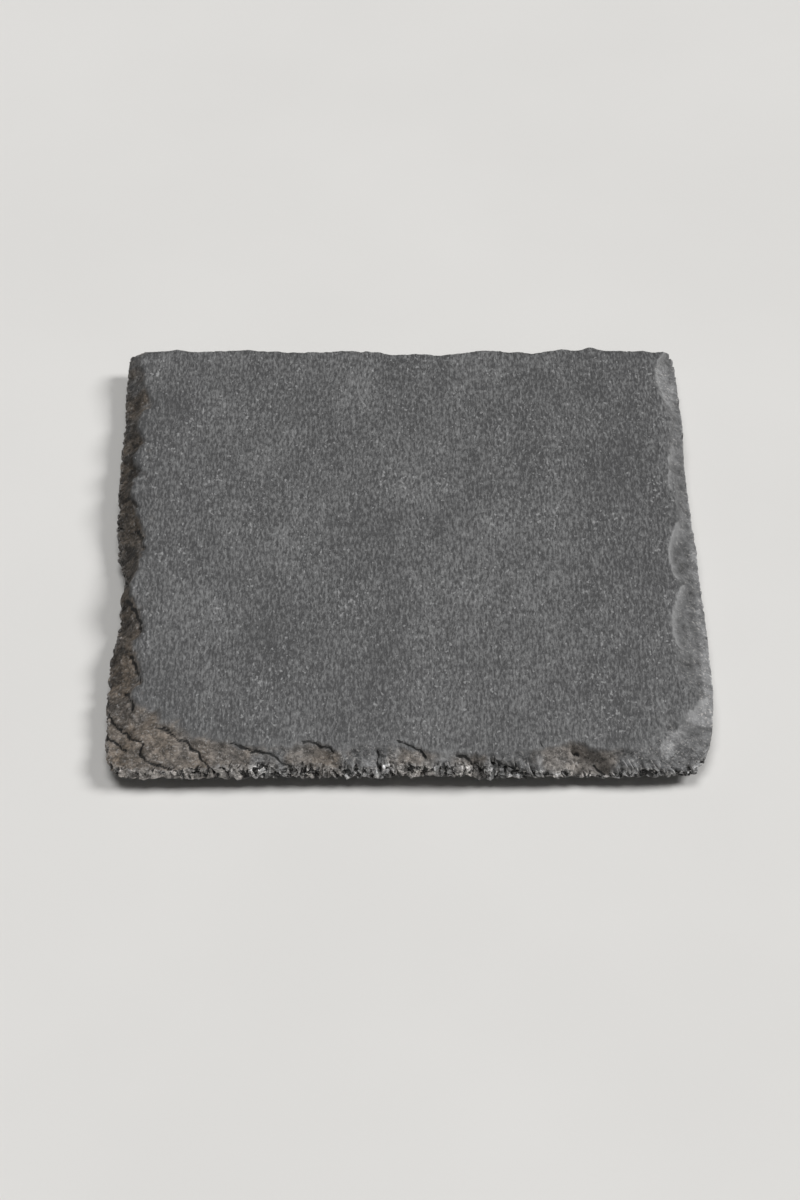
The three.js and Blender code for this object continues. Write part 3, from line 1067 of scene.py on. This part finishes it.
def lathe_mesh(name, node, profile, waver=0.0, seed=0):
    """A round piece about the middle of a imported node. The profile's radii and heights are shares
    of the node's own, and waver is how unevenly its outermost part runs."""
    segments = 96
    outermost = 0.9
    waves = 6
    aside = 40
    low, high = (np.array(corner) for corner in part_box(node))
    middle = (low + high) / 2
    radius = (high[0] - low[0]) / 2
    turn = np.arange(segments) * 2 * math.pi / segments
    random = noise(waves * np.cos(turn) + aside, waves * np.sin(turn) + aside, seed)
    drift = 1 - waver * (0.5 + 0.5 * random)
    rings = []
    points = []
    for share, rise in profile:
        reach = radius * share * (drift if share > outermost else 1)
        height = np.full(segments, low[2] + rise * (high[2] - low[2]))
        rings.append(np.arange(segments) + len(rings) * segments)
        points.append(np.column_stack([middle[0] + reach * np.cos(turn),
                                       middle[1] + reach * np.sin(turn), height]))
    faces = []
    for lower, upper in zip(rings, rings[1:]):
        faces += zip(lower, np.roll(lower, -1), np.roll(upper, -1), upper)
    faces += [tuple(rings[0][::-1]), tuple(rings[-1])]
    mesh = bpy.data.meshes.new(name)
    mesh.from_pydata(np.concatenate(points).tolist(), [], faces)
    mesh.update()
    mesh.shade_smooth()
    return mesh


def pad_profile():
    """Half section of a pad: grip grooves underneath, a rounded foot, a waist and a thin lip."""
    groove_width = 0.06
    groove_slope = 0.015
    groove_depth = 0.07
    profile = [(0.04, 0.0)]
    for start in (0.20, 0.36, 0.52, 0.68):
        end = start + groove_width
        profile += [(start, 0.0), (start + groove_slope, groove_depth),
                    (end - groove_slope, groove_depth), (end, 0.0)]
    profile.append((0.86, 0.0))
    rounding_steps = 6
    for step in range(1, rounding_steps + 1):
        angle = step / rounding_steps * math.pi / 2
        profile.append((0.90 + 0.075 * math.sin(angle), 0.18 * (1 - math.cos(angle))))
    profile += [(0.968, 0.30), (0.962, 0.48), (0.966, 0.66), (0.975, 0.80), (0.992, 0.86),
                (1.0, 0.90), (1.0, 0.96), (0.992, 1.0), (0.04, 1.0)]
    return profile


ADHESIVE_PROFILE = [(0.04, 0.0), (0.90, 0.0), (0.985, 0.0), (1.0, 0.25), (0.99, 0.5), (1.0, 0.8),
                    (0.985, 1.0), (0.90, 1.0), (0.04, 1.0)]


def make_slab():
    add_piece(slab_mesh(), slate_material(), "slate_slab")


def make_feet():
    """The rubber pads, and the adhesive between each pad and the slab."""
    rubber = rubber_material()
    adhesive = adhesive_material()
    for index, node in enumerate(sorted(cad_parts)):
        if node.startswith("foot_pad"):
            pad = lathe_mesh(node + "_rubber", node, pad_profile())
            add_piece(pad, rubber, node)
        if node.startswith("adhesive_disc"):
            film = lathe_mesh(node + "_film", node, ADHESIVE_PROFILE, waver=0.05, seed=90 + index)
            add_piece(film, adhesive, node)


# -------- floor, light, camera

def make_floor():
    """A floor, 60 m across, that reaches far past the object."""
    bpy.ops.mesh.primitive_plane_add(size=60)
    floor = bpy.context.object
    floor.name = "floor"
    floor.data.materials.append(floor_material())


def add_sun(name, direction, spread, strength):
    """Soft light from far away. direction points to it and spread is its width in degrees."""
    data = bpy.data.lights.new(name, "SUN")
    data.angle = math.radians(spread)
    data.energy = strength
    light = bpy.data.objects.new(name, data)
    light.rotation_euler = (-Vector(direction)).to_track_quat("-Z", "Y").to_euler()
    bpy.context.scene.collection.objects.link(light)


ROOM_LIGHT = 0.05
BACKDROP_BRIGHTNESS = 0.64


def make_room():
    """A plain room: dim light from all round, and a pale backdrop where the camera looks past
    the floor."""
    world = bpy.data.worlds.new("room")
    world.use_nodes = True
    nodes = world.node_tree.nodes
    seen = nodes.new("ShaderNodeLightPath").outputs["Is Camera Ray"]
    strength = nodes.new("ShaderNodeMapRange")
    strength.inputs["To Min"].default_value = ROOM_LIGHT
    strength.inputs["To Max"].default_value = BACKDROP_BRIGHTNESS
    world.node_tree.links.new(seen, strength.inputs["Value"])
    world.node_tree.links.new(strength.outputs["Result"], nodes["Background"].inputs["Strength"])
    nodes["Background"].inputs["Color"].default_value = (1, 0.99, 0.97, 1)
    bpy.context.scene.world = world


def make_light():
    """A strong light from the right, a wide one from above and a faint one from the front."""
    add_sun("key", (1.0, 0.1, 0.95), 22, 2.1)
    add_sun("overhead", (-0.1, 0.15, 1.3), 34, 1.5)
    add_sun("front", (0.4, -1.2, 0.9), 34, 0.1)
    bpy.context.scene.view_settings.view_transform = "Standard"


# Camera: its place, and how it is turned, in the frame's axes
CAMERA_PLACE = (-0.01335, -0.43794, 0.44627)
CAMERA_ELEVATION = math.radians(46.01)
CAMERA_YAW = math.radians(1.60)
CAMERA_ROLL = math.radians(1.08)
CAMERA_LENS = 109.32


def make_camera():
    """The camera looks along its yaw and elevation, and is then rolled about that direction."""
    data = bpy.data.cameras.new("camera")
    data.lens = CAMERA_LENS
    data.sensor_width = 36
    camera = bpy.data.objects.new("camera", data)
    forward = Vector((math.sin(CAMERA_YAW) * math.cos(CAMERA_ELEVATION),
                      math.cos(CAMERA_YAW) * math.cos(CAMERA_ELEVATION),
                      -math.sin(CAMERA_ELEVATION)))
    right = Vector((math.cos(CAMERA_YAW), -math.sin(CAMERA_YAW), 0))
    up = right.cross(forward)
    rolled_right = right * math.cos(CAMERA_ROLL) + up * math.sin(CAMERA_ROLL)
    rolled_up = up * math.cos(CAMERA_ROLL) - right * math.sin(CAMERA_ROLL)
    turn = Matrix((rolled_right, rolled_up, -forward)).transposed().to_4x4()
    camera.matrix_world = Matrix.Translation(CAMERA_PLACE) @ turn
    bpy.context.scene.collection.objects.link(camera)
    bpy.context.scene.camera = camera


make_camera()
make_slab()
make_feet()
make_floor()
make_room()
make_light()
